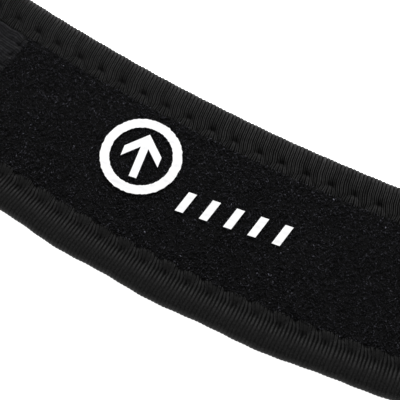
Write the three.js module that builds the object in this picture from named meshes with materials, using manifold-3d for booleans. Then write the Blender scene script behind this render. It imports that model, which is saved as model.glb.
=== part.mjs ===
// A knee support strap: an arc of neoprene foam with a brushed loop face, a ribbed edge binding,
// a tape across the join of its two faces and a hook patch under one end. It lies open, face up.
// Millimetres. X runs along the strap at its middle, +Y points to the concave edge, +Z is up.
// The origin is on the underside, at the middle of the strap.

import * as THREE from "three";
import Module from "manifold-3d";

// Plan of the strap: s runs along its middle line, t across it towards the concave edge
const strapLength = 400;
const strapWidth = 58;
const endWidth = 38;
const bendRadius = 460;

// Layers, and the clearance kept between them
const foamThickness = 4.0;
const squeezedFoam = 1.7;
const faceThickness = 1.0;
const gap = 0.3;

// Edge binding: a ribbed tape folded over the edge and sewn through with a zigzag
const tapeThickness = 1.0;
const bindingCover = 10.6;
const scallop = 0.5;
const dimpleInset = 7.3;
const rollInset = 3.8;
const rimDepth = 2.2;
const rollHeight = 0.4;
const stitchPitch = 7.0;
const squeezeRun = 3.0;

// Tape sewn across the strap, over the join of the two faces
const joinStation = -84;
const crossTapeWidth = 20;

// Hook patch under the left end, which that end of the strap rests on
const hookLength = 62;
const hookThickness = 1.6;
const hookMargin = 1.0;
const liftRun = 26;

// Curl of the free right tip
const tipCurl = 3.0;
const curlRun = 40;

// Steps of the meshes: along each long edge, round each end, and across the tape
const sideSteps = 34;
const endSteps = 12;
const outlineSteps = 12;

const halfLength = strapLength / 2;
const stackBottom = tapeThickness + gap;
const squeezedTop = stackBottom + squeezedFoam;
const faceBottom = foamThickness + gap;
const faceTop = faceBottom + faceThickness;
const squeezedFaceTop = squeezedTop + gap + faceThickness;
const bindingBottom = squeezedFaceTop + gap;
const bindingTop = bindingBottom + tapeThickness;
const squeezedTo = bindingCover + scallop;
const fieldFrom = squeezedTo + squeezeRun;
const hookInset = bindingCover + hookMargin;
const hookStart = -halfLength + hookInset + hookLength;

function smoothStep(x) {
  const t = Math.min(Math.max(x, 0), 1);
  return t * t * (3 - 2 * t);
}

function plan(s, t) {
  const turn = s / bendRadius;
  const r = bendRadius - t;
  return { x: r * Math.sin(turn), y: bendRadius - r * Math.cos(turn) };
}

// How far the strap stands off the table: on the hook patch at its left, and curled at its right tip
function lift(x, y) {
  const s = bendRadius * Math.atan2(x, bendRadius - y);
  const onPatch = smoothStep((hookStart + liftRun - s) / liftRun);
  const curl = Math.max(s - halfLength + curlRun, 0) / curlRun;
  return (hookThickness + gap) * onPatch + tipCurl * curl ** 2;
}

// Half width of the strap at s, before its ends are rounded
function halfWidth(s) {
  return strapWidth / 2 - ((strapWidth - endWidth) / 2) * (s / halfLength) ** 2;
}

// The outline from the left tip over the concave edge to the right tip and back along the convex
// one, so that point i faces point n - i across the strap. Each point has its inward normal.
function outline(refine = 1) {
  const endRadius = endWidth / 2;
  const straight = halfLength - endRadius;
  const chain = [];
  for (let i = 0; i < endSteps * refine; i++) {
    const a = (Math.PI / 2) * (i / (endSteps * refine));
    chain.push([-straight - endRadius * Math.cos(a), Math.sin(a)]);
  }
  for (let i = 0; i <= sideSteps * refine; i++) {
    chain.push([straight * ((2 * i) / (sideSteps * refine) - 1), 1]);
  }
  for (let i = 1; i <= endSteps * refine; i++) {
    const a = (Math.PI / 2) * (i / (endSteps * refine));
    chain.push([straight + endRadius * Math.sin(a), Math.cos(a)]);
  }
  const upper = chain.map(([s, share]) => plan(s, halfWidth(s) * share));
  const lower = chain.slice(1, -1).map(([s, share]) => plan(s, -halfWidth(s) * share));
  return withNormals([...upper, ...lower.reverse()]);
}

function withNormals(points) {
  const n = points.length;
  return points.map((p, i) => {
    const before = points[(i + n - 1) % n];
    const after = points[(i + 1) % n];
    const length = Math.hypot(after.x - before.x, after.y - before.y);
    return { ...p, nx: (after.y - before.y) / length, ny: (before.x - after.x) / length };
  });
}

// The same outline in evenly spaced points, two to each stitch
function stitchOutline() {
  const fine = outline(outlineSteps);
  const n = fine.length;
  const along = [0];
  for (let i = 0; i < n; i++) {
    const q = fine[(i + 1) % n];
    along.push(along[i] + Math.hypot(q.x - fine[i].x, q.y - fine[i].y));
  }
  const count = 2 * Math.round(along[n] / stitchPitch);
  const points = [];
  let i = 0;
  for (let k = 0; k < count; k++) {
    const target = (along[n] * k) / count;
    while (along[i + 1] < target) i++;
    const share = (target - along[i]) / (along[i + 1] - along[i]);
    const p = fine[i];
    const q = fine[(i + 1) % n];
    points.push({ x: p.x + (q.x - p.x) * share, y: p.y + (q.y - p.y) * share });
  }
  return withNormals(points);
}

function geometryOf(points, triangles) {
  const geometry = new THREE.BufferGeometry();
  geometry.setAttribute("position", new THREE.Float32BufferAttribute(points.flat(), 3));
  geometry.setIndex(triangles);
  return geometry;
}

function pushQuad(triangles, a, b, c, d) {
  triangles.push(a, b, c, a, c, d);
}

// A closed sheet over the whole strap. Each row of its table is a ring set in from the outline,
// with the heights of its top and bottom; the last ring is spanned from edge to edge.
function sheet(rows, heightAt) {
  const ring = outline();
  const n = ring.length;
  const points = [];
  for (const side of ["top", "bottom"]) {
    for (const row of rows) {
      for (const p of ring) {
        const x = p.x + p.nx * row.inset;
        const y = p.y + p.ny * row.inset;
        points.push([x, y, row[side] + heightAt(x, y)]);
      }
    }
  }
  const top = (row, i) => row * n + (i % n);
  const bottom = (row, i) => (rows.length + row) * n + (i % n);
  const triangles = [];
  const last = rows.length - 1;
  for (let i = 0; i < n; i++) {
    for (let row = 0; row < last; row++) {
      pushQuad(triangles, top(row, i), top(row + 1, i), top(row + 1, i + 1), top(row, i + 1));
      pushQuad(triangles, bottom(row, i), bottom(row, i + 1), bottom(row + 1, i + 1), bottom(row + 1, i));
    }
    pushQuad(triangles, top(0, i), top(0, i + 1), bottom(0, i + 1), bottom(0, i));
  }
  triangles.push(top(last, 0), top(last, n - 1), top(last, 1));
  triangles.push(bottom(last, 0), bottom(last, 1), bottom(last, n - 1));
  for (let i = 1; i < n / 2 - 1; i++) {
    pushQuad(triangles, top(last, i), top(last, n - i), top(last, n - i - 1), top(last, i + 1));
    pushQuad(triangles, bottom(last, i), bottom(last, i + 1), bottom(last, n - i - 1), bottom(last, n - i));
  }
  const tip = n / 2;
  triangles.push(top(last, tip - 1), top(last, tip + 1), top(last, tip));
  triangles.push(bottom(last, tip - 1), bottom(last, tip), bottom(last, tip + 1));
  return geometryOf(points, triangles);
}

// The binding's section at one station, as inset and height: from the sewn edge on the face, over
// the roll and the rim, and back inside. At a stitch the tape is pulled down and reaches furthest.
function bindingSection(atStitch) {
  const reach = bindingCover + (atStitch ? scallop : -scallop);
  const rollTop = bindingTop + rollHeight;
  const middle = rollTop / 2;
  const rim = (degrees) => {
    const a = THREE.MathUtils.degToRad(degrees);
    return [rimDepth * (1 - Math.cos(a)), middle * (1 + Math.sin(a))];
  };
  return [
    [reach, bindingTop],
    [dimpleInset, atStitch ? bindingTop : rollTop],
    [rollInset, rollTop],
    rim(55),
    rim(20),
    rim(-20),
    rim(-55),
    [rimDepth, 0],
    [bindingCover, 0],
    [bindingCover, tapeThickness],
    [rimDepth, tapeThickness],
    [tapeThickness, middle],
    [rimDepth, bindingBottom],
    [reach, bindingBottom],
  ];
}

function bindingGeometry() {
  const ring = stitchOutline();
  const n = ring.length;
  const points = [];
  ring.forEach((p, i) => {
    for (const [inset, height] of bindingSection(i % 2 === 0)) {
      const x = p.x + p.nx * inset;
      const y = p.y + p.ny * inset;
      points.push([x, y, height + lift(x, y)]);
    }
  });
  const m = points.length / n;
  const at = (i, j) => (i % n) * m + (j % m);
  const triangles = [];
  for (let i = 0; i < n; i++) {
    for (let j = 0; j < m; j++) pushQuad(triangles, at(i, j), at(i + 1, j), at(i + 1, j + 1), at(i, j + 1));
  }
  return geometryOf(points, triangles);
}

// Height of the face under the cross tape, at a distance in from the outline
function faceHeight(inset) {
  const share = Math.min((inset - squeezedTo) / squeezeRun, 1);
  return squeezedFaceTop + (faceTop - squeezedFaceTop) * share;
}

// The cross tape lies over the face, from one edge of the binding to the other
function crossTapeGeometry() {
  const insets = [squeezedTo + gap, fieldFrom + gap];
  const stations = [-0.5, 0, 0.5].map((share) => joinStation + share * crossTapeWidth);
  const rows = [
    ...insets.map((inset) => ({ side: 1, inset })),
    { side: 0, inset: fieldFrom + gap },
    ...insets.toReversed().map((inset) => ({ side: -1, inset })),
  ];
  const points = [];
  for (const layerHeight of [gap + tapeThickness, gap]) {
    for (const row of rows) {
      for (const s of stations) {
        const { x, y } = plan(s, row.side * (halfWidth(s) - row.inset));
        points.push([x, y, faceHeight(row.inset) + layerHeight + lift(x, y)]);
      }
    }
  }
  const m = stations.length;
  const n = rows.length;
  const at = (layer, row, i) => (layer * n + row) * m + i;
  const triangles = [];
  for (let row = 0; row + 1 < n; row++) {
    for (let i = 0; i + 1 < m; i++) {
      pushQuad(triangles, at(0, row, i), at(0, row + 1, i), at(0, row + 1, i + 1), at(0, row, i + 1));
      pushQuad(triangles, at(1, row, i), at(1, row, i + 1), at(1, row + 1, i + 1), at(1, row + 1, i));
    }
    pushQuad(triangles, at(0, row, m - 1), at(0, row + 1, m - 1), at(1, row + 1, m - 1), at(1, row, m - 1));
    pushQuad(triangles, at(0, row, 0), at(1, row, 0), at(1, row + 1, 0), at(0, row + 1, 0));
  }
  for (let i = 0; i + 1 < m; i++) {
    pushQuad(triangles, at(0, 0, i), at(0, 0, i + 1), at(1, 0, i + 1), at(1, 0, i));
    pushQuad(triangles, at(0, n - 1, i), at(1, n - 1, i), at(1, n - 1, i + 1), at(0, n - 1, i + 1));
  }
  return geometryOf(points, triangles);
}

const wasm = await Module();
wasm.setup();

function solidOf(geometry) {
  return new wasm.Manifold(new wasm.Mesh({
    numProp: 3,
    vertProperties: new Float32Array(geometry.getAttribute("position").array),
    triVerts: new Uint32Array(geometry.getIndex().array),
  }));
}

// Cuts off all that lies past a station, on the side given: 1 to the right of it, -1 to the left
function cutOff(geometry, station, side) {
  const reach = 2 * strapLength;
  const block = new THREE.BoxGeometry(reach, reach, reach).toNonIndexed();
  block.translate((side * reach) / 2, 0, 0);
  block.rotateZ(station / bendRadius);
  const { x, y } = plan(station, 0);
  block.translate(x, y, 0);
  const corners = block.getAttribute("position");
  const found = new Map();
  const points = [];
  const triangles = [];
  for (let i = 0; i < corners.count; i++) {
    const key = [corners.getX(i), corners.getY(i), corners.getZ(i)].map((v) => v.toFixed(3)).join();
    if (!found.has(key)) {
      found.set(key, points.length);
      points.push([corners.getX(i), corners.getY(i), corners.getZ(i)]);
    }
    triangles.push(found.get(key));
  }
  const mesh = solidOf(geometry).subtract(solidOf(geometryOf(points, triangles))).getMesh();
  const result = new THREE.BufferGeometry();
  result.setAttribute("position", new THREE.BufferAttribute(mesh.vertProperties, mesh.numProp));
  result.setIndex([...mesh.triVerts]);
  return result;
}

const materials = {
  foam: { color: 0x1a1b1d, roughness: 0.9, metalness: 0 },
  loopPile: { color: 0x141517, roughness: 1, metalness: 0 },
  knit: { color: 0x1c1d20, roughness: 0.85, metalness: 0 },
  ribbedTape: { color: 0x242428, roughness: 0.7, metalness: 0 },
  hook: { color: 0x17181a, roughness: 0.6, metalness: 0 },
};

function addPiece(name, geometry, material) {
  const mesh = new THREE.Mesh(geometry, new THREE.MeshStandardMaterial(materials[material]));
  mesh.name = name;
  group.add(mesh);
}

const group = new THREE.Group();

addPiece("core", sheet([
  { inset: rimDepth, top: squeezedTop, bottom: stackBottom },
  { inset: squeezedTo, top: squeezedTop, bottom: stackBottom },
  { inset: fieldFrom, top: foamThickness, bottom: 0 },
], lift), "foam");

const wholeFace = sheet([
  { inset: rimDepth, top: squeezedFaceTop, bottom: squeezedTop + gap },
  { inset: squeezedTo, top: squeezedFaceTop, bottom: squeezedTop + gap },
  { inset: fieldFrom, top: faceTop, bottom: faceBottom },
], lift);
addPiece("loop_face", cutOff(wholeFace, joinStation + gap / 2, -1), "loopPile");
addPiece("tongue_face", cutOff(wholeFace, joinStation - gap / 2, 1), "knit");

addPiece("cross_tape", crossTapeGeometry(), "ribbedTape");
addPiece("edge_binding", bindingGeometry(), "ribbedTape");

const flatPatch = sheet([{ inset: hookInset, top: hookThickness, bottom: 0 }], () => 0);
addPiece("hook_patch", cutOff(flatPatch, hookStart, 1), "hook");

export default group;
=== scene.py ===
import math

import bpy
import numpy as np
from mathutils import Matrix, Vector


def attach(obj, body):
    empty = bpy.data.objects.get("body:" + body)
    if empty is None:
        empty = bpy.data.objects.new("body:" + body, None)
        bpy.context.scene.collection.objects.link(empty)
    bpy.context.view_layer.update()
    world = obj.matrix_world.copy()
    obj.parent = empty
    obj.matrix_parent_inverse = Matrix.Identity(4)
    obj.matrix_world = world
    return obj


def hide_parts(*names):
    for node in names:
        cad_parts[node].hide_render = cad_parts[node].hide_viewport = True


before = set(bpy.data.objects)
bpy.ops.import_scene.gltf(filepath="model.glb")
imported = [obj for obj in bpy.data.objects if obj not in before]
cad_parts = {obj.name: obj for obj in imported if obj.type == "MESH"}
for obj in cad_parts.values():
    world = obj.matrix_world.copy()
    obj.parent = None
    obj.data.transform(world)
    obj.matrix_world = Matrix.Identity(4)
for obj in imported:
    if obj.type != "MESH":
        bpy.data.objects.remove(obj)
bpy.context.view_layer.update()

# Camera: a long lens looks down on the middle of the strap, turned so that the strap runs from the
# upper left to the lower right. The table is backlit white acrylic, which leaves no shadow, and the
# room is a white tent with one soft light behind the concave edge.
MM = 0.001
TURN, DIP = math.radians(27.8), math.radians(67)
DISTANCE = 450 * MM
LENS_MM = 150
TABLE_SIZE = 6000 * MM
AIM = Vector((-5.9, 1.3, 5.6)) * MM

back = Vector((math.sin(TURN) * math.cos(DIP), -math.cos(TURN) * math.cos(DIP), math.sin(DIP)))
lens = bpy.data.cameras.new("camera")
lens.lens = LENS_MM
lens.clip_start = 10 * MM
camera = bpy.data.objects.new("camera", lens)
camera.location = AIM + back * DISTANCE
camera.rotation_mode = "QUATERNION"
camera.rotation_quaternion = (-back).to_track_quat("-Z", "Y")
bpy.context.scene.collection.objects.link(camera)
bpy.context.scene.camera = camera
bpy.context.scene.view_settings.view_transform = "Standard"


def linear(hex_colour):
    """The linear colour of an sRGB hex value."""
    shares = [int(hex_colour[i:i + 2], 16) / 255 for i in (1, 3, 5)]
    return [c / 12.92 if c <= 0.04045 else ((c + 0.055) / 1.055) ** 2.4 for c in shares] + [1.0]


def add_node(tree, kind, inputs, **settings):
    """Adds a shader node with its settings, and its inputs as values or as links."""
    made = tree.nodes.new("ShaderNode" + kind)
    for name, value in settings.items():
        setattr(made, name, value)
    for name, value in inputs.items():
        if isinstance(value, bpy.types.NodeSocket):
            tree.links.new(value, made.inputs[name])
        else:
            made.inputs[name].default_value = value
    return made


def start_material(name):
    """A new material with only its output node, and its tree."""
    material = bpy.data.materials.new(name)
    material.use_nodes = True
    tree = material.node_tree
    tree.nodes.clear()
    tree.nodes.new("ShaderNodeOutputMaterial")
    return material, tree


def finish_material(tree, shader):
    """Joins the finished shader to the material's output."""
    tree.links.new(shader.outputs[0], tree.nodes["Material Output"].inputs["Surface"])


# Opal acrylic lit from below: an even, matt white on which nothing casts a shadow
acrylic, tree = start_material("backlit_opal_acrylic")
finish_material(tree, add_node(tree, "BsdfPrincipled", {
    "Base Color": linear("#f4f4f4"), "Roughness": 0.6, "Specular IOR Level": 0.2,
    "Emission Color": linear("#ffffff"), "Emission Strength": 0.95}))
bpy.ops.mesh.primitive_plane_add(size=TABLE_SIZE)
table = bpy.context.object
table.name = "table"
table.data.materials.append(acrylic)

tent = bpy.data.worlds.new("white_tent")
tent.use_nodes = True
tent.node_tree.nodes["Background"].inputs["Color"].default_value = linear("#ffffff")
tent.node_tree.nodes["Background"].inputs["Strength"].default_value = 0.35
bpy.context.scene.world = tent

SOFT_LIGHTS = [
    # name, place in metres, size in metres, watts
    ("back_light", (-0.15, 0.75, 0.60), 0.5, 11.0),
    ("side_light", (-0.70, -0.20, 0.60), 0.5, 1.5),
]
for name, place, size, watts in SOFT_LIGHTS:
    light = bpy.data.lights.new(name, "AREA")
    light.energy = watts
    light.size = size
    lamp = bpy.data.objects.new(name, light)
    lamp.location = place
    lamp.rotation_mode = "QUATERNION"
    lamp.rotation_quaternion = (AIM - Vector(place)).to_track_quat("-Z", "Y")
    bpy.context.scene.collection.objects.link(lamp)


# Foam core: 4 mm of neoprene with a nylon jersey laminated to its underside. Its rim is squeezed
# to under half its height where the binding folds over it, and only the jersey underneath shows.
STRAP_LENGTH = 400 * MM
STRAP_WIDTH = 58 * MM
END_WIDTH = 38 * MM
BEND_RADIUS = 460 * MM
FOAM = 4.0 * MM
SQUEEZED_FOAM = 1.7 * MM
FABRIC = 1.0 * MM
GAP = 0.3 * MM
RIM_DEPTH = 2.2 * MM
BINDING_COVER = 10.6 * MM
SCALLOP = 0.5 * MM
SQUEEZE_RUN = 3.0 * MM
HOOK_LENGTH = 62 * MM
HOOK_THICKNESS = 1.6 * MM
HOOK_MARGIN = 1.0 * MM
LIFT_RUN = 26 * MM
TIP_CURL = 3.0 * MM
CURL_RUN = 40 * MM
TIP_SLIT = 0.01 * MM

HALF_LENGTH = STRAP_LENGTH / 2
END_RADIUS = END_WIDTH / 2
SQUEEZED_TO = BINDING_COVER + SCALLOP
HOOK_START = -HALF_LENGTH + BINDING_COVER + HOOK_MARGIN + HOOK_LENGTH
STACK_BOTTOM = FABRIC + GAP
SQUEEZED_TOP = STACK_BOTTOM + SQUEEZED_FOAM
FACE_TOP = FOAM + GAP + FABRIC
SQUEEZED_FACE = SQUEEZED_TOP + GAP + FABRIC


def smooth_step(x):
    """A soft ramp from 0 to 1 while x goes from 0 to 1."""
    t = np.clip(x, 0, 1)
    return t * t * (3 - 2 * t)


def plan(s, t):
    """Plan point of the place s along the strap's middle line and t across it."""
    turn = s / BEND_RADIUS
    radius = BEND_RADIUS - t
    return radius * np.sin(turn), BEND_RADIUS - radius * np.cos(turn)


def lift(s):
    """How far the strap stands off the table: on its hook patch, and curled at its right tip."""
    on_patch = smooth_step((HOOK_START + LIFT_RUN - s) / LIFT_RUN)
    curl = np.maximum(s - HALF_LENGTH + CURL_RUN, 0) / CURL_RUN
    return (HOOK_THICKNESS + GAP) * on_patch + TIP_CURL * curl ** 2


def half_width(s):
    """Half the strap's width at a station, which tapers towards both ends."""
    return STRAP_WIDTH / 2 - (STRAP_WIDTH - END_WIDTH) / 2 * (s / HALF_LENGTH) ** 2


def rounding(s):
    """How far into the rounded end s lies, from 0 where it starts to 1 at the tip."""
    return np.maximum(np.abs(s) - HALF_LENGTH + END_RADIUS, 0) / END_RADIUS


def inset_of(s, t):
    """Distance in from the strap's outline."""
    return half_width(s) * (1 - np.hypot(rounding(s), t / half_width(s)))


def layer_height(s, t, squeezed, free):
    """Height of a layer that runs free in the field and is squeezed under the binding."""
    share = smooth_step((inset_of(s, t) - SQUEEZED_TO) / SQUEEZE_RUN)
    return squeezed + (free - squeezed) * share + lift(s)


def ripples(x, y, wavelength, seed):
    """Smooth random relief of about unit height, as a sum of plane waves near one wavelength."""
    waves = 24
    random = np.random.default_rng(seed)
    heading, phase = random.uniform(0, math.tau, (2, waves))
    pace = math.tau / (wavelength * random.uniform(0.7, 1.5, waves))
    total = np.zeros(np.broadcast(x, y).shape)
    for h, p, k in zip(heading, phase, pace):
        total += np.cos(k * (x * math.cos(h) + y * math.sin(h)) + p)
    return total / math.sqrt(waves)


def grid_quads(rows, columns, first=0, flipped=False):
    """Quads of a grid of points that is stored row by row."""
    corner = (np.arange(rows - 1)[:, None] * columns + np.arange(columns - 1)).ravel() + first
    quads = np.stack([corner, corner + 1, corner + columns + 1, corner + columns], axis=1)
    return quads[:, ::-1] if flipped else quads


def slab(top, bottom):
    """Points and quads of a closed slab between two grids of points with the same layout."""
    rows, columns = top.shape[:2]
    count = rows * columns
    index = np.arange(count).reshape(rows, columns)
    rim = np.concatenate([index[0], index[1:, -1], index[-1, -2::-1], index[-2:0:-1, 0]])
    after = np.roll(rim, -1)
    sides = np.stack([after, rim, rim + count, after + count], axis=1)
    quads = [grid_quads(rows, columns), grid_quads(rows, columns, count, True), sides]
    return np.concatenate([top.reshape(-1, 3), bottom.reshape(-1, 3)]), np.concatenate(quads)


def add_piece(name, points, faces, material, attributes=None, smooth=True):
    """A mesh object of the given points and faces, all with as many corners."""
    mesh = bpy.data.meshes.new(name)
    corners = faces.shape[1]
    mesh.vertices.add(len(points))
    mesh.vertices.foreach_set("co", points.astype(np.float32).ravel())
    mesh.loops.add(faces.size)
    mesh.loops.foreach_set("vertex_index", faces.astype(np.int32).ravel())
    mesh.polygons.add(len(faces))
    mesh.polygons.foreach_set("loop_start", np.arange(0, faces.size, corners, dtype=np.int32))
    mesh.polygons.foreach_set("use_smooth", np.full(len(faces), smooth))
    mesh.update(calc_edges=True)
    for label, values in (attributes or {}).items():
        stored = mesh.attributes.new(label, "FLOAT", "POINT")
        stored.data.foreach_set("value", values.astype(np.float32))
    mesh.materials.append(material)
    piece = bpy.data.objects.new(name, mesh)
    bpy.context.scene.collection.objects.link(piece)
    return piece


def strap_grid(start, end, edge, step):
    """s and t over the strap between two stations, edge in from the outline."""
    columns = int(round((end - start) / step)) + 1
    rows = int(round(STRAP_WIDTH / step)) + 1
    s = np.linspace(start, end, columns)[:, None]
    cap = rounding(s) * END_RADIUS / (END_RADIUS - edge)
    reach = (half_width(s) - edge) * np.sqrt(np.clip(1 - cap ** 2, 0, 1))
    t = np.linspace(-1, 1, rows)[None, :] * np.maximum(reach, TIP_SLIT)
    return s + 0 * t, t


def at(s, t, z):
    """Points of the strap as an array with x, y and z last."""
    x, y = plan(s, t)
    return np.stack([x, y, z + 0 * x], axis=-1)


# Jersey: a plain weft knit of nylon, matt, with its stitches in fine columns. The columns are 0.45 mm
# apart on the real one, and drawn twice as far apart so that they still show from arm's length.
WALE = 0.9 * MM
DUST = 2.5 * MM  # width of a patch of settled dust
WAVE = math.pi / 10  # distance between the bands of a wave texture of scale 1


def jersey(name, colour):
    """Knit nylon of one colour, which is a little greyer where fine dust sits in it."""
    material, tree = start_material(name)
    place = add_node(tree, "TexCoord", {})
    wales = add_node(tree, "TexWave", {
        "Vector": place.outputs["Object"], "Scale": WAVE / WALE, "Distortion": 0.6,
        "Detail": 1.0, "Detail Scale": 2.0}, bands_direction="Y")
    courses = add_node(tree, "TexWave", {
        "Vector": place.outputs["Object"], "Scale": WAVE / WALE, "Distortion": 0.8,
        "Detail": 1.0, "Detail Scale": 2.0}, bands_direction="X")
    knit = add_node(tree, "Math", {0: wales.outputs["Fac"], 1: courses.outputs["Fac"]},
                    operation="MULTIPLY")
    bump = add_node(tree, "Bump", {
        "Strength": 0.6, "Distance": 0.2 * MM, "Height": knit.outputs[0]})
    dust = add_node(tree, "TexNoise", {"Vector": place.outputs["Object"], "Scale": 1 / DUST})
    shade = add_node(tree, "MapRange", {
        "Value": dust.outputs["Fac"], "From Min": 0.3, "From Max": 0.75, "To Min": 0.75,
        "To Max": 1.35})
    tint = add_node(tree, "VectorMath", {0: linear(colour)[:3], "Scale": shade.outputs[0]},
                    operation="SCALE")
    finish_material(tree, add_node(tree, "BsdfPrincipled", {
        "Base Color": tint.outputs[0], "Roughness": 0.85, "Specular IOR Level": 0.14,
        "Sheen Weight": 0.05, "Sheen Roughness": 0.5, "Normal": bump.outputs[0]}))
    return material


UNDERSIDE = 0.18 * MM
lining = jersey("nylon_jersey_laminated", "#121213")
s, t = strap_grid(-HALF_LENGTH + RIM_DEPTH, HALF_LENGTH - RIM_DEPTH, RIM_DEPTH, step=2.5 * MM)
swell = 0.06 * MM * ripples(s, t, 14 * MM, 3)
core = add_piece("foam_core", *slab(
    at(s, t, layer_height(s, t, SQUEEZED_TOP, FOAM)),
    at(s, t, layer_height(s, t, STACK_BOTTOM, UNDERSIDE) + swell)), lining)
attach(core, "root")
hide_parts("core")


# Loop face: warp-knit nylon laminated on the foam, which hook tape can grip anywhere. It starts at
# the join under the cross tape, and dips under the binding all round.
JOIN = -84 * MM
TANGLE = MM / 1.1  # from tuft to tuft of the crushed fibre
FACE_DIP = 1.2 * MM
DIP_COVERED = 0.9 * MM

# Ground of the knit: crushed dull fibre, nearly black, with pits painted dark as shade and paler
# tufts
loop_ground, tree = start_material("brushed_nylon_ground")
place = add_node(tree, "TexCoord", {})
tangle = add_node(tree, "TexNoise", {
    "Vector": place.outputs["Object"], "Scale": 1 / TANGLE, "Detail": 5, "Roughness": 0.7})
shade = add_node(tree, "MapRange", {
    "Value": tangle.outputs["Fac"], "From Min": 0.35, "From Max": 0.75, "To Min": 0.2,
    "To Max": 1.75})
tint = add_node(tree, "VectorMath", {0: linear("#101011")[:3], "Scale": shade.outputs[0]},
                operation="SCALE")
bump = add_node(tree, "Bump", {
    "Strength": 0.8, "Distance": 0.25 * MM, "Height": tangle.outputs["Fac"]})
finish_material(tree, add_node(tree, "BsdfPrincipled", {
    "Base Color": tint.outputs[0], "Roughness": 1.0, "Specular IOR Level": 0.1,
    "Normal": bump.outputs[0]}))

s, t = strap_grid(JOIN + GAP / 2, HALF_LENGTH - RIM_DEPTH, RIM_DEPTH, step=1.0 * MM)
risen = smooth_step((inset_of(s, t) - BINDING_COVER + DIP_COVERED) / FACE_DIP)
filled = (FACE_TOP - SQUEEZED_FACE) * risen
relief = 0.07 * MM * ripples(s, t, 4 * MM, 5) + 0.05 * MM * ripples(s, t, 22 * MM, 6)
loop_face = add_piece("loop_face_ground", *slab(
    at(s, t, SQUEEZED_FACE + filled + lift(s) + relief),
    at(s, t, layer_height(s, t, SQUEEZED_TOP + GAP, FOAM + GAP))), loop_ground)
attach(loop_face, "root")
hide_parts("loop_face")


# Pile of the loop face: short loops of fine yarn, raised by brushing until they lie tangled every
# way. The yarn is drawn 0.22 mm thick, about three times the real one, so that single loops show.
YARN_RADIUS = 0.11 * MM
LOOP_LENGTH = 0.8 * MM
LOOP_HEIGHT = 0.7 * MM
ROOT_DEPTH = 0.1 * MM
PILE_TUCK = 0.4 * MM  # how far the pile runs in under the binding of the concave edge
PILE_DENSITY = 4.8 / MM ** 2
GLINT_PATCH = MM / 0.7  # width of a patch of loops that get the same painted glint

# Brushed nylon yarn: a dull black with painted glints, patches of loops painted grey as if turned to
# the light
pile_yarn, tree = start_material("brushed_nylon_yarn")
place = add_node(tree, "TexCoord", {})
painted_glint = add_node(tree, "TexNoise", {
    "Vector": place.outputs["Object"], "Scale": 1 / GLINT_PATCH, "Detail": 3})
painted_glint_shade = add_node(tree, "MapRange", {
    "Value": painted_glint.outputs["Fac"], "From Min": 0.35, "From Max": 0.7, "To Min": 0.3,
    "To Max": 2.0})
tone = add_node(tree, "Attribute", {}, attribute_name="tone")
shade = add_node(tree, "Math", {0: painted_glint_shade.outputs[0], 1: tone.outputs["Fac"]},
                 operation="MULTIPLY")
tint = add_node(tree, "VectorMath", {0: linear("#1f1f23")[:3], "Scale": shade.outputs[0]},
                operation="SCALE")
finish_material(tree, add_node(tree, "BsdfPrincipled", {
    "Base Color": tint.outputs[0], "Roughness": 0.55, "Specular IOR Level": 0.2}))


def level_side(ahead):
    """Level unit vectors square to the given ones."""
    side = np.stack([-ahead[..., 1], ahead[..., 0], 0 * ahead[..., 0]], axis=-1)
    return side / (np.linalg.norm(side, axis=-1, keepdims=True) + 1e-12)


def nap_tone_and_light(s, t):
    """Tone of the nap: lighter towards the concave edge, as painted light, and at both edges; uneven
    in clumps.
    """
    tone = 1.25 + t / (120 * MM) + (t / (42 * MM)) ** 2
    tone += 0.35 * ripples(s, t, 2 * MM, 14)
    tone += 0.18 * ripples(s, t, 7 * MM, 15)
    return np.maximum(tone, 0.1)


def yarn_loops(centre_s, centre_t, random):
    """Points, triangles and tones of small bent yarns, one round each centre."""
    count = len(centre_s)
    heading = random.uniform(0, math.tau, count)[:, None]
    long = random.uniform(0.55, 1.25, count)[:, None] * LOOP_LENGTH
    bend = random.normal(0, 1.3, count)[:, None] / LOOP_LENGTH
    straightest = 0.02 / LOOP_LENGTH
    bend = np.where(np.abs(bend) < straightest, straightest, bend)
    share = np.linspace(-0.5, 0.5, 4)[None, :]
    along = long * share
    s = centre_s[:, None] + (np.sin(heading + bend * along) - np.sin(heading)) / bend
    t = centre_t[:, None] - (np.cos(heading + bend * along) - np.cos(heading)) / bend
    top = random.uniform(0.3, 1.0, count)[:, None] * LOOP_HEIGHT
    z = FACE_TOP + lift(s) + top * (1 - (2 * share) ** 2) - ROOT_DEPTH
    path = at(s, t, z)
    side = level_side(np.gradient(path, axis=1))
    up = np.array([0.0, 0.0, 1.0])
    # Each yarn is a point, two rings of three points, and a point
    rings = [path[:, 1:-1] + YARN_RADIUS * (math.cos(a) * side[:, 1:-1] + math.sin(a) * up)
             for a in np.radians([90, 210, 330])]
    points = np.concatenate([
        path[:, :1], np.stack(rings, axis=2).reshape(count, 6, 3), path[:, -1:]], axis=1)
    triangles = []
    for j in range(3):
        k = (j + 1) % 3
        triangles += [[0, 1 + k, 1 + j], [1 + j, 1 + k, 4 + k]]
        triangles += [[1 + j, 4 + k, 4 + j], [7, 4 + j, 4 + k]]
    triangles = np.array(triangles) + 8 * np.arange(count)[:, None, None]
    # Each loop's tone: random, times the nap's tone with its painted light
    tone = random.lognormal(-0.5, 0.9, count) * nap_tone_and_light(centre_s, centre_t)
    return points.reshape(-1, 3), triangles.reshape(-1, 3), np.repeat(tone, 8)


def face_places(start, end, random):
    """Random places on the face between two stations, as far out as the binding."""
    count = int((end - start) * STRAP_WIDTH * PILE_DENSITY)
    s = random.uniform(start, end, count)
    t = random.uniform(-0.5, 0.5, count) * STRAP_WIDTH
    kept = inset_of(s, t) > BINDING_COVER - np.where(t > 0, PILE_TUCK, 0)
    return s[kept], t[kept]


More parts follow.
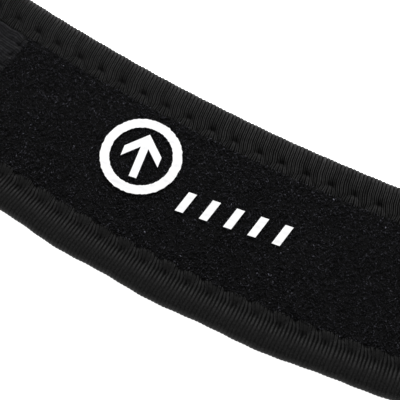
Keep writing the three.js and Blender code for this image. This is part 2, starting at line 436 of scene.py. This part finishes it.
TAPE_HALF = 10 * MM
TAPE_EDGE = JOIN + TAPE_HALF
PILE_PARTS = [
    # name, from and to in mm along the strap, seed
    ("loop_pile_printed_part", TAPE_EDGE / MM - 0.6, 4, 11),
    ("loop_pile_middle_part", 4, 86, 12),
    ("loop_pile_end_part", 86, HALF_LENGTH / MM, 13),
]
for name, start, end, seed in PILE_PARTS:
    random = np.random.default_rng(seed)
    s, t = face_places(start * MM, end * MM, random)
    points, triangles, tone = yarn_loops(s, t, random)
    pile = add_piece(name, points, triangles, pile_yarn, {"tone": tone})
    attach(pile, "root")
    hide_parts("loop_face")


# Tongue face: the plain end of the strap, left of the cross tape. It is faced with the same nylon
# jersey as the underside, laminated on the foam, because nothing has to grip here.
s, t = strap_grid(-HALF_LENGTH + RIM_DEPTH, JOIN - GAP / 2, RIM_DEPTH, step=1.6 * MM)
relief = 0.05 * MM * ripples(s, t, 16 * MM, 8)
tongue_face = add_piece("tongue_face_jersey", *slab(
    at(s, t, layer_height(s, t, SQUEEZED_FACE, FACE_TOP) + relief),
    at(s, t, layer_height(s, t, SQUEEZED_TOP + GAP, FOAM + GAP))),
    jersey("nylon_jersey_face", "#111113"))
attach(tongue_face, "root")
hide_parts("tongue_face")


# Outline of the strap, along which its edge is bound: one closed ring, measured clockwise from the
# left tip, over the concave edge to the right tip, and back along the convex edge.
TIP_POINTS = 600
SIDE_POINTS = 7999

quarter = np.linspace(0, math.pi / 2, TIP_POINTS)
straight = HALF_LENGTH - END_RADIUS
chain_s = np.concatenate([
    -straight - END_RADIUS * np.cos(quarter),
    np.linspace(-straight, straight, SIDE_POINTS + 2)[1:-1],
    straight + END_RADIUS * np.sin(quarter)])
chain_side = np.concatenate([np.sin(quarter), np.ones(SIDE_POINTS), np.cos(quarter)])
ring_side = np.concatenate([chain_side, -chain_side[-2:0:-1]])
ring_s = np.concatenate([chain_s, chain_s[-2:0:-1]])
ring = np.stack(plan(ring_s, half_width(ring_s) * ring_side), axis=1)
ring_way = np.concatenate([[0], np.cumsum(np.linalg.norm(np.roll(ring, -1, 0) - ring, axis=1))])
ring_ahead = np.roll(ring, -1, 0) - np.roll(ring, 1, 0)
ring_ahead /= np.linalg.norm(ring_ahead, axis=1, keepdims=True)
RING = ring_way[-1]
RIGHT_TIP = ring_way[len(chain_s) - 1]


def on_ring(way, values):
    """Values of the ring's points, at any distance along it."""
    return np.interp(np.mod(way, RING), ring_way, np.append(values, values[0]))


def edge_plan(way, inset):
    """Plan point at a distance along the outline and in from it."""
    x = on_ring(way, ring[:, 0]) + on_ring(way, ring_ahead[:, 1]) * inset
    y = on_ring(way, ring[:, 1]) - on_ring(way, ring_ahead[:, 0]) * inset
    return x, y


def station(x, y):
    """Place along the strap's middle line that a plan point belongs to."""
    return BEND_RADIUS * np.arctan2(x, BEND_RADIUS - y)


# Edge binding: one ribbed elastic tape, folded over the edge and sewn through with a zigzag. Each
# outer stitch pulls a dimple into the tape and each inner one a hole at its edge, and the ribs
# lean and bunch with them. It is drawn in two halves that meet at the tips.
SEAMS = [
    # middle of the half along the ring, direction of +s, stitch pitch, first stitch, rib pitch
    (RIGHT_TIP / 2, 1, 7.14 * MM, 1.60 * MM, 1.10 * MM),
    ((RIGHT_TIP + RING) / 2, -1, 6.79 * MM, 2.37 * MM, 1.074 * MM),
]
RIB_HEIGHT = 0.2 * MM
DIMPLE_INSET = 7.5 * MM
HOLE_INSET = 10.4 * MM
PUFF_INSET = 9.2 * MM
STITCH_LOOSE = 0.25 * MM
# Depth and radius in mm of each mark that a stitch presses into the tape
DIMPLE, HOLLOW, HOLE, GUTTER = (0.38, 0.9), (0.08, 2.2), (0.45, 0.7), (0.12, 0.4)
# Height of the puff of tape between a dimple and the edge, and its reach along and across, in mm
PUFF, PUFF_ALONG, PUFF_ACROSS = 0.03, 1.7, 1.1
# Rise of the binding over the ends of the cross tape, how far it reaches, and over what it runs out
HUMP, HUMP_REACH, HUMP_RUN = 0.35 * MM, 14 * MM, 7 * MM

random = np.random.default_rng(21)
found = []
for middle, way_of_s, pitch, first, _ in SEAMS:
    numbers = np.arange(-int(RIGHT_TIP / pitch / 2), int(RIGHT_TIP / pitch / 2) + 1)
    places = middle + way_of_s * (first + numbers * pitch)
    found.append(places[np.abs(places - middle) < RIGHT_TIP / 2 - 0.4 * pitch])
stitches = np.sort(np.concatenate(found))
stitches += random.normal(0, STITCH_LOOSE, len(stitches))
pull = random.normal(1, 0.2, len(stitches))
padded_stitches = np.concatenate([[stitches[-1] - RING], stitches, [stitches[0] + RING]])
padded_pull = np.concatenate([[pull[-1]], pull, [pull[0]]])


def near(distance, reach):
    """1 at no distance, falling softly to nothing beyond a reach in mm."""
    return np.exp(-(distance / (reach * MM)) ** 2)


def mark(kind, distance):
    """Depth in mm of one kind of mark at a distance from its middle."""
    return kind[0] * near(distance, kind[1])


def sewing(way, inset):
    """Depth the stitches press into the tape, share of a stitch passed, and how near a puff is."""
    way = np.mod(way, RING)
    before = np.clip(np.searchsorted(padded_stitches, way) - 1, 0, len(padded_stitches) - 2)
    spacing = padded_stitches[before + 1] - padded_stitches[before]
    phase = (way - padded_stitches[before]) / spacing
    strength = padded_pull[before + (phase > 0.5)]
    aside = np.minimum(phase, 1 - phase) * spacing
    from_dimple = np.hypot(aside, inset - DIMPLE_INSET)
    from_hole = np.hypot(spacing / 2 - aside, inset - HOLE_INSET)
    run_s, run_t = spacing / 2, HOLE_INSET - DIMPLE_INSET
    past_dimple = inset - DIMPLE_INSET
    share = np.clip((aside * run_s + past_dimple * run_t) / (run_s ** 2 + run_t ** 2), 0, 1)
    from_thread = np.hypot(aside - share * run_s, past_dimple - share * run_t)
    puff = near(aside, PUFF_ALONG) * near(inset - PUFF_INSET, PUFF_ACROSS)
    depth = mark(DIMPLE, from_dimple) + mark(HOLLOW, from_dimple) + mark(HOLE, from_hole)
    depth += mark(GUTTER, from_thread) - PUFF * puff
    return strength * MM * depth, phase, puff


def hump(s):
    """How much the binding rises where it runs over the ends of the cross tape."""
    return HUMP * smooth_step((HUMP_REACH - np.abs(s - JOIN)) / HUMP_RUN)


def round_quads(rows, columns):
    """Quads of a grid of points whose last column joins its first."""
    wrapped = grid_quads(rows, columns + 1)
    return wrapped // (columns + 1) * columns + wrapped % (columns + 1) % columns


# Section of the tape, from its inner edge on the face over the roll and round the rim to the
# underside, and back on the inside: inset, height, rib share, and how much the stitches act.
SECTION = [(10.75, 4.55, 0.3, 0.2), (10.95, 4.80, 0.6, 0.6), (10.80, 5.10, 0.9, 1)]
TOP_PROFILE = [
    (10.3, 5.32), (9.7, 5.40), (9.1, 5.44), (8.6, 5.46), (8.1, 5.49), (7.6, 5.53), (7.0, 5.62),
    (6.4, 5.74), (5.7, 5.87), (4.9, 5.99), (4.1, 6.06), (3.3, 6.07), (2.6, 6.03)]
SECTION += [(inset, height, 1, 1) for inset, height in TOP_PROFILE]
# Height of the rim's middle, half its height, and where the ribs' lean turns round, in mm
RIM_MIDDLE, RIM_RISE, FOLD_HEIGHT = 3.09, 2.91, 3.0
for turn in np.radians([70, 48, 27, 9, -9, -27, -48, -70, -90]):
    inset = RIM_DEPTH / MM * (1 - math.cos(turn))
    SECTION.append((inset, RIM_MIDDLE + RIM_RISE * math.sin(turn), 1, 0))
SECTION += [
    (4.8, 0.2, 1, -0.3), (7.5, 0.23, 1, -0.3), (9.0, 0.24, 1, -0.3), (10.4, 0.22, 1, -0.3),
    (10.6, 1.0, 0, 0), (2.5, 1.0, 0, 0), (1.2, 3.0, 0, 0), (2.5, 4.6, 0, 0),
]
inset_row, height_row, rib_row, sewn_row = np.array(SECTION).T
across = np.roll(np.stack([inset_row, height_row], axis=1), -1, 0)
across -= np.roll(np.stack([inset_row, height_row], axis=1), 1, 0)
across /= np.linalg.norm(across, axis=1, keepdims=True)
normal_row = np.stack([across[:, 1], -across[:, 0]], axis=1)
turned_row = np.where(height_row < FOLD_HEIGHT, -1, 1)

# How far the ribs have leaned clockwise at each inset, in mm, along either edge
CONCAVE_LEAN = [(0, 0), (1, 0.4), (3, 0.7), (6, 1.0), (8.6, 1.8), (10.6, 2.0)]
CONVEX_LEAN = [(0, 0), (4, -0.3), (7.5, -0.3), (8.6, -0.1), (10.6, 0.6)]
# How clearly the ribs stand out at each inset, along either edge, in relief and in their painted
# shade
CONCAVE_RELIEF = [(0, 0.9), (2, 0.85), (3.2, 1), (6, 1.1), (7, 1.35), (9.4, 1.6), (10.6, 1.3)]
CONVEX_RELIEF = [(0, 0.2), (3, 0.2), (4.2, 0.35), (5.4, 0.95), (6.5, 1.3), (8, 1.2), (10.6, 1.15)]
# How far each rib has parted into its two yarns
CONCAVE_PARTED = [(0, 0), (2.0, 0.1), (3.6, 1), (8.0, 1), (10.6, 0.7)]
CONVEX_PARTED = [(0, 0), (7.8, 0), (9.2, 0.45), (10.6, 0.6)]
# Painted light and shade on the tape at each inset: lightest at the rims, where the light catches it
CONCAVE_PAINTED_LIGHT = [(0, 1.99), (0.8, 1.89), (1.6, 1.53), (2.4, 1.26), (4, 1.26), (5.4, 1.19),
                (6.2, 1.08), (7, 1.13), (8, 0.88), (9.2, 0.85), (10, 1.23)]
CONVEX_PAINTED_LIGHT = [(0, 1.4), (1.4, 1.33), (2.4, 0.98), (3, 0.96), (4.2, 1.07), (5.4, 0.93), (7, 0.5),
               (7.8, 0.5), (8.6, 0.66), (9.4, 0.66), (10.2, 0.8)]
# Reach in mm of the painted shade round a dimple, along and across, and where it is darkest
DIMPLE_SHADE_ALONG, DIMPLE_SHADE_ACROSS, DIMPLE_SHADE_INSET = 1.3, 0.8, 7.4 * MM
# How far in mm the ribs draw together at a hole and spread at a dimple, and within what reach
RIBS_DRAWN, RIBS_SPREAD = (0.35, 1.3), (0.1, 1.0)
USUAL_STITCH = 7 * MM  # from stitch to stitch, about the mean of both seams
WAVER, WAVER_DRIFT = 31 * MM, 57 * MM  # length of the edges' slow waver, and of its drift
MEAN_RIB = 0.6  # what the ribs' shade fades to where they hardly stand out
RIB_STATIONS = [
    # share of the pitch, height of a whole rib, height of a parted one
    (0.0, 0.0, 0.0), (0.12, 0.35, 0.5), (0.26, 0.85, 1.1), (0.5, 1.0, 0.0), (0.74, 0.85, 1.1),
    (0.88, 0.35, 0.5),
]


def by_side(side, concave, convex):
    """Values of two tables at the section's insets, mixed by which edge each station is on."""
    concave, convex = (np.interp(inset_row, *np.array(table).T) for table in (concave, convex))
    return (concave * (1 + side) + convex * (1 - side)) / 2


def binding_half(start, end, rib_pitch, seed):
    """Points, quads and attributes of the tape between two places on the ring."""
    random = np.random.default_rng(seed)
    ribs = int(round((end - start) / rib_pitch))
    grooves = np.linspace(start, end, ribs + 1)
    loose = 0.065 + 0.015 * on_ring(grooves[1:-1], ring_side)
    grooves[1:-1] += MM * loose * random.normal(0, 1, ribs - 1)
    share, whole, parted = np.array(RIB_STATIONS).T
    way = grooves[:-1, None] + share * np.diff(grooves)[:, None]
    way = np.append(way.ravel(), end)[:, None]
    full = random.normal(1, 0.055, (ribs, 1))
    whole = np.append((whole * full).ravel(), 0)[:, None]
    parted = np.append((parted * full).ravel(), 0)[:, None]

    # 1 along the concave edge, -1 along the convex one, and in between round the tips
    side = on_ring(way, ring_side)
    inset = inset_row * MM + 0 * way
    on_face = sewn_row > 0
    along = way + MM * turned_row * by_side(side, CONCAVE_LEAN, CONVEX_LEAN)
    # The ribs draw together at each hole and spread a little at each dimple
    _, phase, _ = sewing(along, inset)
    bunch = MM * (mark(RIBS_DRAWN, inset - HOLE_INSET) - mark(RIBS_SPREAD, inset - DIMPLE_INSET))
    along = along + on_face * bunch * np.sin(math.tau * phase)
    depth, phase, puff = sewing(along, inset)
    puff = np.clip(1.8 * puff, 0, 1) * on_face

    # The floor of a dimple is painted dark as shade, and the ribs are fainter on a puff
    aside = np.minimum(phase, 1 - phase) * USUAL_STITCH
    dimple_shade = (0.73 + 0.17 * side) * near(aside, DIMPLE_SHADE_ALONG) * near(inset - DIMPLE_SHADE_INSET, DIMPLE_SHADE_ACROSS)
    tone = by_side(side, CONCAVE_PAINTED_LIGHT, CONVEX_PAINTED_LIGHT) * (1 - dimple_shade * on_face)
    clear = by_side(side, CONCAVE_RELIEF, CONVEX_RELIEF) * (1 - puff * (0.5 - 0.32 * side))
    crest = whole + (parted - whole) * by_side(side, CONCAVE_PARTED, CONVEX_PARTED)
    rib = crest * rib_row * (0.4 + 0.6 * clear)
    # The rib shade paints grooves dark as shade and crests light as highlight; a puff is painted
    # lighter on the convex edge, darker on the concave one
    shade = MEAN_RIB + (crest - MEAN_RIB) * clear - 0.08 * puff * side
    shade = np.clip(shade, 0, 1.4) ** (1.3 + 0.3 * side)

    # The convex edge stands out more and wavers more, and its tape is wider and more scalloped
    waver = np.cos(math.tau * way / WAVER + 2.1 * np.sin(way / WAVER_DRIFT))
    wave = MM * ((0.14 - 0.11 * side) * waver + 0.1 * (1 - side))
    beat = np.cos(math.tau * phase)
    free = smooth_step((inset_row - 8.2) / 2.4)
    scallop = ((0.42 - 0.12 * side) * SCALLOP * beat + 0.15 * MM * (1 - side)) * free
    tuck = 0.05 * MM * near(inset_row * MM, 3) * beat - wave * near(inset_row * MM, 4)
    out = RIB_HEIGHT * (rib - 0.5 * rib_row)
    inset = inset + scallop + tuck + out * normal_row[:, 0]
    height = height_row * MM - depth * sewn_row + out * normal_row[:, 1]
    x, y = edge_plan(along, inset)
    s = station(x, y)
    points = np.stack([x, y, height + hump(s) * on_face + lift(s)], axis=-1)
    quads = round_quads(*points.shape[:2])[:, ::-1]
    return points.reshape(-1, 3), quads, {"rib": shade.ravel(), "tone": tone.ravel()}


# Grain of the tape's filament yarn, drawn about twice as wide as the real one so that it shows
FILAMENT = MM / 2.2


def tape_material(name, groove, crest):
    """Woven satin ribbed tape with a soft sheen, painted dark in the grooves as shade, light on the
    crests.
    """
    material, tree = start_material(name)
    rib = add_node(tree, "Attribute", {}, attribute_name="rib")
    tone = add_node(tree, "Attribute", {}, attribute_name="tone")
    sharp = add_node(tree, "Math", {0: rib.outputs["Fac"], 1: 2.0}, operation="POWER")
    place = add_node(tree, "TexCoord", {})
    fibre = add_node(tree, "TexNoise", {
        "Vector": place.outputs["Object"], "Scale": 1 / FILAMENT, "Detail": 3, "Roughness": 0.7})
    # Painted shade and highlight: the rib attribute mixes from the dark groove colour to the light
    # crest colour
    colour = add_node(tree, "Mix", {
        0: sharp.outputs[0], 6: linear(groove), 7: linear(crest)}, data_type="RGBA")
    patchy = add_node(tree, "MapRange", {
        "Value": fibre.outputs["Fac"], "From Min": 0.3, "From Max": 0.7, "To Min": 0.45,
        "To Max": 1.55})
    scale = add_node(tree, "Math", {0: patchy.outputs[0], 1: tone.outputs["Fac"]},
                     operation="MULTIPLY")
    tint = add_node(tree, "VectorMath", {0: colour.outputs[2], "Scale": scale.outputs[0]},
                    operation="SCALE")
    bump = add_node(tree, "Bump", {
        "Strength": 0.35, "Distance": 0.1 * MM, "Height": fibre.outputs["Fac"]})
    finish_material(tree, add_node(tree, "BsdfPrincipled", {
        "Base Color": tint.outputs[0], "Roughness": 0.45, "Specular IOR Level": 0.025,
        "Sheen Weight": 0.01, "Sheen Roughness": 0.4, "Normal": bump.outputs[0]}))
    return material


binding_tape = tape_material("ribbed_elastic_tape", "#030303", "#2d2d2d")
for name, start, end, rib_pitch, seed in (
        ("binding_concave_half", 0, RIGHT_TIP, SEAMS[0][4], 31),
        ("binding_convex_half", RIGHT_TIP, RING, SEAMS[1][4], 32)):
    points, quads, attributes = binding_half(start, end, rib_pitch, seed)
    half = add_piece(name, points, quads, binding_tape, attributes)
    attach(half, "root")
    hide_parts("edge_binding")


# Zigzag thread: black polyester, seen as short legs that run from each dimple to the hole at the
# tape's edge and back, on the face and on the underside.
THREAD_RADIUS = 0.16 * MM
THREAD_PLY = 0.4 * MM
STEPS_PER_LEG = 7

# Spun polyester: black and a little silky, with its plies in slanting turns of light and dark
sewing_thread, tree = start_material("polyester_sewing_thread")
place = add_node(tree, "TexCoord", {})
plies = add_node(tree, "TexWave", {
    "Vector": place.outputs["Object"], "Scale": WAVE / THREAD_PLY, "Distortion": 1.0,
    "Detail": 1.0}, bands_direction="DIAGONAL")
shade = add_node(tree, "MapRange", {"Value": plies.outputs["Fac"], "To Min": 0.6, "To Max": 1.4})
tint = add_node(tree, "VectorMath", {0: linear("#0a0a0b")[:3], "Scale": shade.outputs[0]},
                operation="SCALE")
bump = add_node(tree, "Bump", {
    "Strength": 0.4, "Distance": 0.05 * MM, "Height": plies.outputs["Fac"]})
finish_material(tree, add_node(tree, "BsdfPrincipled", {
    "Base Color": tint.outputs[0], "Roughness": 0.6, "Specular IOR Level": 0.1,
    "Normal": bump.outputs[0]}))


def tubes(paths, radius, sides=5):
    """Points and quads of tubes along paths, an array of paths with as many points each."""
    ahead = np.gradient(paths, axis=1)
    side = level_side(ahead)
    over = np.cross(ahead, side)
    over /= np.linalg.norm(over, axis=-1, keepdims=True) + 1e-12
    angles = np.arange(sides) * math.tau / sides
    points = np.stack(
        [paths + radius * (math.cos(a) * side + math.sin(a) * over) for a in angles], axis=2)
    count, steps = paths.shape[:2]
    quads = round_quads(steps, sides) + steps * sides * np.arange(count)[:, None, None]
    return points.reshape(-1, 3), quads.reshape(-1, 4)


def arch(share):
    """Rise of a stitch between the two holes that it dives into, from 0 to 1."""
    return 1 - (2 * share - 1) ** 4


def zigzag(on_top):
    """One path per leg of the zigzag, sunk at both of its ends."""
    spacing = np.diff(padded_stitches)[1:, None]
    first = stitches[:, None]
    share = np.linspace(0, 1, STEPS_PER_LEG)
    inset = DIMPLE_INSET + (HOLE_INSET - DIMPLE_INSET) * share
    inset = np.concatenate([inset + 0 * first, inset[::-1] + 0 * first])
    way = np.concatenate([first + spacing / 2 * share, first + spacing / 2 * (1 + share)])
    depth, _, _ = sewing(way, inset)
    x, y = edge_plan(way, inset)
    s = station(x, y)
    if on_top:
        tape = MM * np.interp(inset / MM, *np.array(TOP_PROFILE)[::-1].T) + hump(s) - depth
        height = tape - 0.3 * MM + 0.25 * MM * arch(share)
    else:
        height = 0.3 * depth + 0.37 * MM - 0.2 * MM * arch(share)
    return np.stack([x, y, height + lift(s)], axis=-1)


for name, on_top in (("zigzag_thread_face", True), ("zigzag_thread_underside", False)):
    thread = add_piece(name, *tubes(zigzag(on_top), THREAD_RADIUS), sewing_thread)
    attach(thread, "root")


# Cross tape: a duller woven polyester tape laid across the strap over the join of its faces, with
# its ribs along the strap. A straight stitch runs down each of its edges, and the binding covers
# its ends.
TAPE_ENDS = 9.5 * MM
TAPE_THICKNESS = 0.45 * MM
TAPE_ON_FACE = 0.5 * MM
TAPE_RIB = 1.5 * MM
SEAM_IN = 1.5 * MM
SEAM_PITCH = 3.7 * MM
# Depth and radius in mm of the channel of a seam, and of the pit at each of its needle holes
CHANNEL, PIT = (0.08, 0.9), (0.45, 0.65)

end_t = float(half_width(JOIN)) - TAPE_ENDS
ribs = int(round(2 * end_t / TAPE_RIB))
share, _, profile = np.array(RIB_STATIONS).T
random = np.random.default_rng(41)
grooves = np.linspace(-end_t, end_t, ribs + 1)
grooves[1:-1] += random.normal(0, 0.05 * MM, ribs - 1)
t = np.append((grooves[:-1, None] + share * np.diff(grooves)[:, None]).ravel(), end_t)[None, :]
rib = np.append((profile * random.normal(1, 0.15, (ribs, 1))).ravel(), 0)[None, :]
edge = np.array([9.5, 9.85, TAPE_HALF / MM])
offset = np.concatenate([-edge[::-1], np.linspace(-9.1, 9.1, 27), edge])[:, None] * MM
s = JOIN + offset + 0 * t
rib = np.clip(0.65 + 0.5 * (rib - 0.5) + 0.15 * ripples(s, t, 2 * MM, 42), 0, 1.3)


def tape_top(s, t):
    """Height of the cross tape's top, squeezed at its ends where the binding covers them."""
    share = smooth_step((inset_of(s, t) - BINDING_COVER + 0.5 * MM) / (1.5 * MM))
    return SQUEEZED_FACE + TAPE_ON_FACE + (FACE_TOP - SQUEEZED_FACE) * share + lift(s)


def seam_depth(offset, t):
    """Depth that the straight stitches press into the cross tape."""
    from_seam = np.abs(np.abs(offset) - TAPE_HALF + SEAM_IN)
    from_needle = np.abs(np.mod(t / SEAM_PITCH, 1) - 0.5) * SEAM_PITCH
    return MM * (mark(CHANNEL, from_seam) + mark(PIT, np.hypot(from_seam, from_needle)))


depth = seam_depth(offset, t)
worn = smooth_step((TAPE_HALF - np.abs(offset)) / (1.2 * MM))
top = tape_top(s, t) - depth - 0.4 * MM * (1 - worn) + 0.6 * RIB_HEIGHT * (rib - 0.5)
under = tape_top(s, t) - TAPE_THICKNESS
astray = t + 0.22 * MM * ripples(s, t, 5 * MM, 44)
# Painted shade in the seams' channels and needle pits, darker where they press deeper, times a random
# tone
tone = (1 - 0.5 * np.clip(depth / (0.5 * MM), 0, 1)) * (1 + 0.2 * ripples(s, t, 1.6 * MM, 43))
cross_tape = add_piece(
    "cross_tape_ribbed", *slab(at(s, astray, top), at(s, astray, under)),
    tape_material("ribbed_polyester_tape", "#0a0a0b", "#232325"),
    {"rib": np.tile(rib.ravel(), 2), "tone": np.tile(tone.ravel(), 2)})
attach(cross_tape, "root")
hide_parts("cross_tape")

stitches_each_way = int(end_t / SEAM_PITCH)
needle = (np.arange(-stitches_each_way, stitches_each_way) + 0.5) * SEAM_PITCH
share = np.linspace(0, 1, STEPS_PER_LEG)
paths = []
for offset in (SEAM_IN - TAPE_HALF, TAPE_HALF - SEAM_IN):
    t = needle[:, None] + SEAM_PITCH * share
    s = JOIN + offset + 0 * t
    z = tape_top(s, t) - seam_depth(offset, t) - 0.25 * MM + 0.3 * MM * arch(share)
    paths.append(at(s, t, z))
tape_thread = add_piece(
    "cross_tape_thread", *tubes(np.concatenate(paths), THREAD_RADIUS), sewing_thread)
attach(tape_thread, "root")


# Print: a thin white heat-transfer film, pressed hot on the tips of the pile. It carries generic
# signs: a ring with an arrow towards the kneecap, and a row of five slanted bars.
PRINT_TURN = math.radians(7.6)
PRINT_CENTRE = (-26.1 * MM, 5.15 * MM)
RING_INNER, RING_OUTER = 8.7 * MM, 11.3 * MM
FILM = 0.12 * MM
FILM_TOP = FACE_TOP + 0.68 * MM
PILE_GRAIN = MM / 0.9  # grain of the pile, which shows through the film
# The slanted bars: how many, and their places and sizes in mm from the ring's centre
BARS, BAR_START, BAR_PITCH, BAR_WIDTH, BAR_SLANT = 5, 14.2, 6.9, 2.3, 1.8
BAR_LOW, BAR_HIGH = -11.8, -5.5
PRINT_QUADS = [
    # lower left, lower right, upper right and upper left corners in mm from the ring's centre
    ((-1.1, -6.6), (0.0, -6.6), (0.0, 3.8), (-1.1, 2.7)),
    ((0.0, -6.6), (1.1, -6.6), (1.1, 2.7), (0.0, 3.8)),
    ((-5.4, -1.6), (0.0, 3.8), (0.0, 6.9), (-5.4, 1.5)),
    ((0.0, 3.8), (5.4, -1.6), (5.4, 1.5), (0.0, 6.9)),
]
for number in range(BARS):
    low = BAR_START + BAR_PITCH * number
    high = low + BAR_SLANT
    PRINT_QUADS.append((
        (low, BAR_LOW), (low + BAR_WIDTH, BAR_LOW), (high + BAR_WIDTH, BAR_HIGH), (high, BAR_HIGH)))


def film(a, b):
    """A closed film over a grid of places, in metres along and up the print from its ring."""
    x = PRINT_CENTRE[0] + a * math.cos(PRINT_TURN) - b * math.sin(PRINT_TURN)
    y = PRINT_CENTRE[1] + a * math.sin(PRINT_TURN) + b * math.cos(PRINT_TURN)
    z = FILM_TOP + 0.03 * MM * ripples(x, y, 2.2 * MM, 51)
    top = np.stack([x, y, z], axis=-1)
    return slab(top, top - np.array([0, 0, FILM]))


# Polyurethane transfer film: a flat clean white, faintly grained by the pile under it
transfer, tree = start_material("white_transfer_film")
place = add_node(tree, "TexCoord", {})
grain = add_node(tree, "TexNoise", {
    "Vector": place.outputs["Object"], "Scale": 1 / PILE_GRAIN, "Detail": 3})
bump = add_node(tree, "Bump", {
    "Strength": 0.4, "Distance": 0.1 * MM, "Height": grain.outputs["Fac"]})
finish_material(tree, add_node(tree, "BsdfPrincipled", {
    "Base Color": linear("#f1f1f2"), "Roughness": 0.5, "Normal": bump.outputs[0]}))

angle = np.linspace(0, math.tau, 181)[:, None]
radius = np.linspace(RING_OUTER, RING_INNER, 7)[None, :]
ragged = 1 + 0.008 * ripples(np.cos(angle), np.sin(angle), 0.12, 52)
films = [film(radius * ragged * np.cos(angle), radius * ragged * np.sin(angle))]
across, along = np.meshgrid(np.linspace(0, 1, 7), np.linspace(0, 1, 15))
for corners in PRINT_QUADS:
    low_left, low_right, high_right, high_left = np.array(corners) * MM
    low = low_left + (low_right - low_left) * across[..., None]
    high = high_left + (high_right - high_left) * across[..., None]
    spot = low + (high - low) * along[..., None]
    films.append(film(spot[..., 0], spot[..., 1]))
firsts = np.cumsum([0] + [len(points) for points, _ in films])
sign = add_piece(
    "transfer_print", np.concatenate([points for points, _ in films]),
    np.concatenate([quads + first for (_, quads), first in zip(films, firsts)]), transfer,
    smooth=False)
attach(sign, "root")


# Hook patch: moulded nylon hooks on a woven backing, sewn under the left end so that the strap
# closes on its own loop face. The hooks stand 1.1 mm high, 1.6 mm apart in offset rows.
HOOK_INSET = BINDING_COVER + HOOK_MARGIN
HOOK_BACK = 1.17 * MM
HOOK_PITCH = 1.6 * MM
HOOK_RADIUS = 0.11 * MM
HOOK_LINES = 12
HOOK_BORDER = 1.2 * MM
CLOUD = MM / 0.35  # width of a cloudy patch in the nylon

# Moulded nylon: a dull black, with the hooks as a field of fine dots
hook_nylon, tree = start_material("moulded_nylon_hooks")
place = add_node(tree, "TexCoord", {})
cloudy = add_node(tree, "TexNoise", {
    "Vector": place.outputs["Object"], "Scale": 1 / CLOUD, "Detail": 3})
shade = add_node(tree, "MapRange", {
    "Value": cloudy.outputs["Fac"], "From Min": 0.3, "From Max": 0.7, "To Min": 0.7,
    "To Max": 1.3})
tint = add_node(tree, "VectorMath", {0: linear("#0c0c0d")[:3], "Scale": shade.outputs[0]},
                operation="SCALE")
bump = add_node(tree, "Bump", {
    "Strength": 0.3, "Distance": 0.05 * MM, "Height": cloudy.outputs["Fac"]})
finish_material(tree, add_node(tree, "BsdfPrincipled", {
    "Base Color": tint.outputs[0], "Roughness": 0.7, "Specular IOR Level": 0.08,
    "Normal": bump.outputs[0]}))

s, t = strap_grid(-HALF_LENGTH + HOOK_INSET, HOOK_START, HOOK_INSET, step=1.0 * MM)
patch_points, patch_quads = slab(at(s, t, HOOK_THICKNESS), at(s, t, HOOK_BACK))

rows = np.arange(-HALF_LENGTH + HOOK_INSET + HOOK_PITCH, HOOK_START - HOOK_PITCH / 2, HOOK_PITCH)
lines = np.arange(-HOOK_LINES, HOOK_LINES + 1) * HOOK_PITCH
stagger = np.where(np.arange(len(rows)) % 2, 0.5, 0)[:, None] * HOOK_PITCH
foot_s = np.repeat(rows, len(lines))
foot_t = (lines[None, :] + stagger).ravel()
kept = inset_of(foot_s, foot_t) > HOOK_INSET + HOOK_BORDER
foot_s, foot_t = foot_s[kept][:, None], foot_t[kept][:, None]
# Each hook stands straight off the backing and bends over, every other one the other way
reach = np.array([0, 0, 0, 0.1, 0.32, 0.5]) * MM
drop = np.array([0, 0.35, 0.7, 0.95, 1.05, 0.85]) * MM
way = np.where(np.arange(len(foot_s)) % 2, 1, -1)[:, None]
stems = at(foot_s + way * reach, foot_t, HOOK_BACK - drop)
hook_points, hook_quads = tubes(stems, HOOK_RADIUS, sides=4)
hooks = add_piece("hook_patch_moulded", np.concatenate([patch_points, hook_points]),
                  np.concatenate([patch_quads, hook_quads + len(patch_points)]), hook_nylon)
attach(hooks, "root")
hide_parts("hook_patch")
